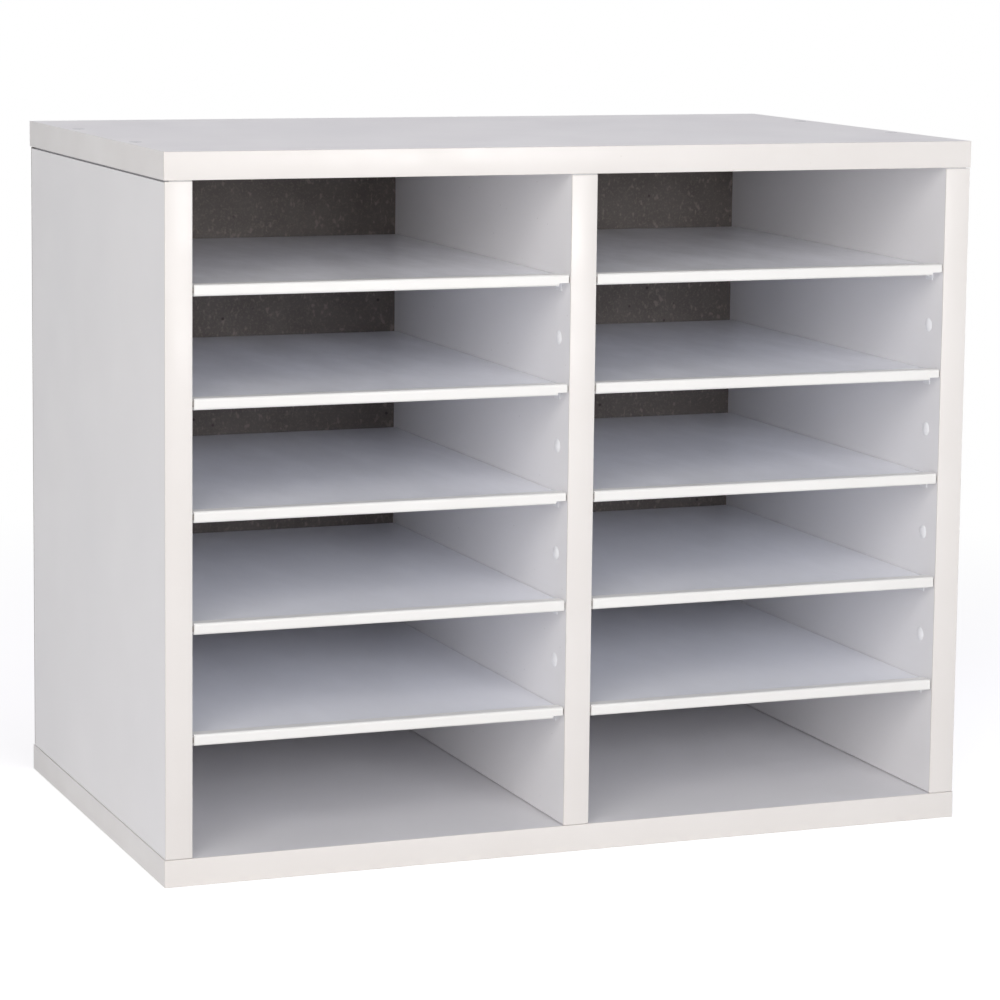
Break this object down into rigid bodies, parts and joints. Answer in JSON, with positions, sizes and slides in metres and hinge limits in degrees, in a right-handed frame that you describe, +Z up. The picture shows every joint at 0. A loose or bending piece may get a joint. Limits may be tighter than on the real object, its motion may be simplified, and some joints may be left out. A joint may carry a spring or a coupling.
{
  "type": "pigeonhole mail sorter",
  "caption": "Free-standing desktop sorter: a laminated board box with a center divider and thin shelves that slide out of both columns.",
  "frame": {"origin": "on the standing surface, under the middle of the cabinet", "axes": "+Z up, +X to the right seen from the open front, -Y out of the open front"},
  "size_m": [0.505, 0.305, 0.418],
  "materials": {
    "laminate": "white melamine-faced particle board, satin",
    "edging": "warm white banding, satin",
    "hardboard": "raw brown hardboard, fibrous and matt",
    "shelf_face": "hardboard with a glossy white face",
    "shelf_trim": "white moulded channel, glossy",
    "pin_plastic": "white moulded plastic",
    "zinc": "zinc plated",
    "beech": "fluted beech dowel"
  },
  "bodies": {
    "cabinet": {"top_panel": "laminate", "bottom_panel": "laminate", "left_side_panel": "laminate", "right_side_panel": "laminate", "center_divider": "laminate", "top_panel_front_edging": "edging", "top_panel_left_edging": "edging", "top_panel_right_edging": "edging", "bottom_panel_front_edging": "edging", "bottom_panel_left_edging": "edging", "bottom_panel_right_edging": "edging", "left_side_edging": "edging", "right_side_edging": "edging", "divider_edging": "edging", "back_panel": "hardboard", "top_screws": "zinc", "bottom_screws": "zinc", "back_nails": "zinc", "top_dowels": "beech", "bottom_dowels": "beech", "left_side_hole_caps": "pin_plastic", "divider_left_hole_caps": "pin_plastic", "divider_right_hole_caps": "pin_plastic", "right_side_hole_caps": "pin_plastic", "left_shelf_1_pins": "pin_plastic", "left_shelf_2_pins": "pin_plastic", "left_shelf_3_pins": "pin_plastic", "left_shelf_4_pins": "pin_plastic", "left_shelf_5_pins": "pin_plastic", "right_shelf_1_pins": "pin_plastic", "right_shelf_2_pins": "pin_plastic", "right_shelf_3_pins": "pin_plastic", "right_shelf_4_pins": "pin_plastic", "right_shelf_5_pins": "pin_plastic"},
    "left_shelf_1": {"left_shelf_1_board": "shelf_face", "left_shelf_1_trim": "shelf_trim"},
    "left_shelf_2": {"left_shelf_2_board": "shelf_face", "left_shelf_2_trim": "shelf_trim"},
    "left_shelf_3": {"left_shelf_3_board": "shelf_face", "left_shelf_3_trim": "shelf_trim"},
    "left_shelf_4": {"left_shelf_4_board": "shelf_face", "left_shelf_4_trim": "shelf_trim"},
    "left_shelf_5": {"left_shelf_5_board": "shelf_face", "left_shelf_5_trim": "shelf_trim"},
    "right_shelf_1": {"right_shelf_1_board": "shelf_face", "right_shelf_1_trim": "shelf_trim"},
    "right_shelf_2": {"right_shelf_2_board": "shelf_face", "right_shelf_2_trim": "shelf_trim"},
    "right_shelf_3": {"right_shelf_3_board": "shelf_face", "right_shelf_3_trim": "shelf_trim"},
    "right_shelf_4": {"right_shelf_4_board": "shelf_face", "right_shelf_4_trim": "shelf_trim"},
    "right_shelf_5": {"right_shelf_5_board": "shelf_face", "right_shelf_5_trim": "shelf_trim"}
  },
  "joints": [
    {"name": "left_shelf_1_slide", "type": "slide", "parent": "cabinet", "child": "left_shelf_1", "axis": [0, -1, 0], "range_m": [0, 0.3]},
    {"name": "left_shelf_2_slide", "type": "slide", "parent": "cabinet", "child": "left_shelf_2", "axis": [0, -1, 0], "range_m": [0, 0.3]},
    {"name": "left_shelf_3_slide", "type": "slide", "parent": "cabinet", "child": "left_shelf_3", "axis": [0, -1, 0], "range_m": [0, 0.3]},
    {"name": "left_shelf_4_slide", "type": "slide", "parent": "cabinet", "child": "left_shelf_4", "axis": [0, -1, 0], "range_m": [0, 0.3]},
    {"name": "left_shelf_5_slide", "type": "slide", "parent": "cabinet", "child": "left_shelf_5", "axis": [0, -1, 0], "range_m": [0, 0.3]},
    {"name": "right_shelf_1_slide", "type": "slide", "parent": "cabinet", "child": "right_shelf_1", "axis": [0, -1, 0], "range_m": [0, 0.3]},
    {"name": "right_shelf_2_slide", "type": "slide", "parent": "cabinet", "child": "right_shelf_2", "axis": [0, -1, 0], "range_m": [0, 0.3]},
    {"name": "right_shelf_3_slide", "type": "slide", "parent": "cabinet", "child": "right_shelf_3", "axis": [0, -1, 0], "range_m": [0, 0.3]},
    {"name": "right_shelf_4_slide", "type": "slide", "parent": "cabinet", "child": "right_shelf_4", "axis": [0, -1, 0], "range_m": [0, 0.3]},
    {"name": "right_shelf_5_slide", "type": "slide", "parent": "cabinet", "child": "right_shelf_5", "axis": [0, -1, 0], "range_m": [0, 0.3]}
  ]
}
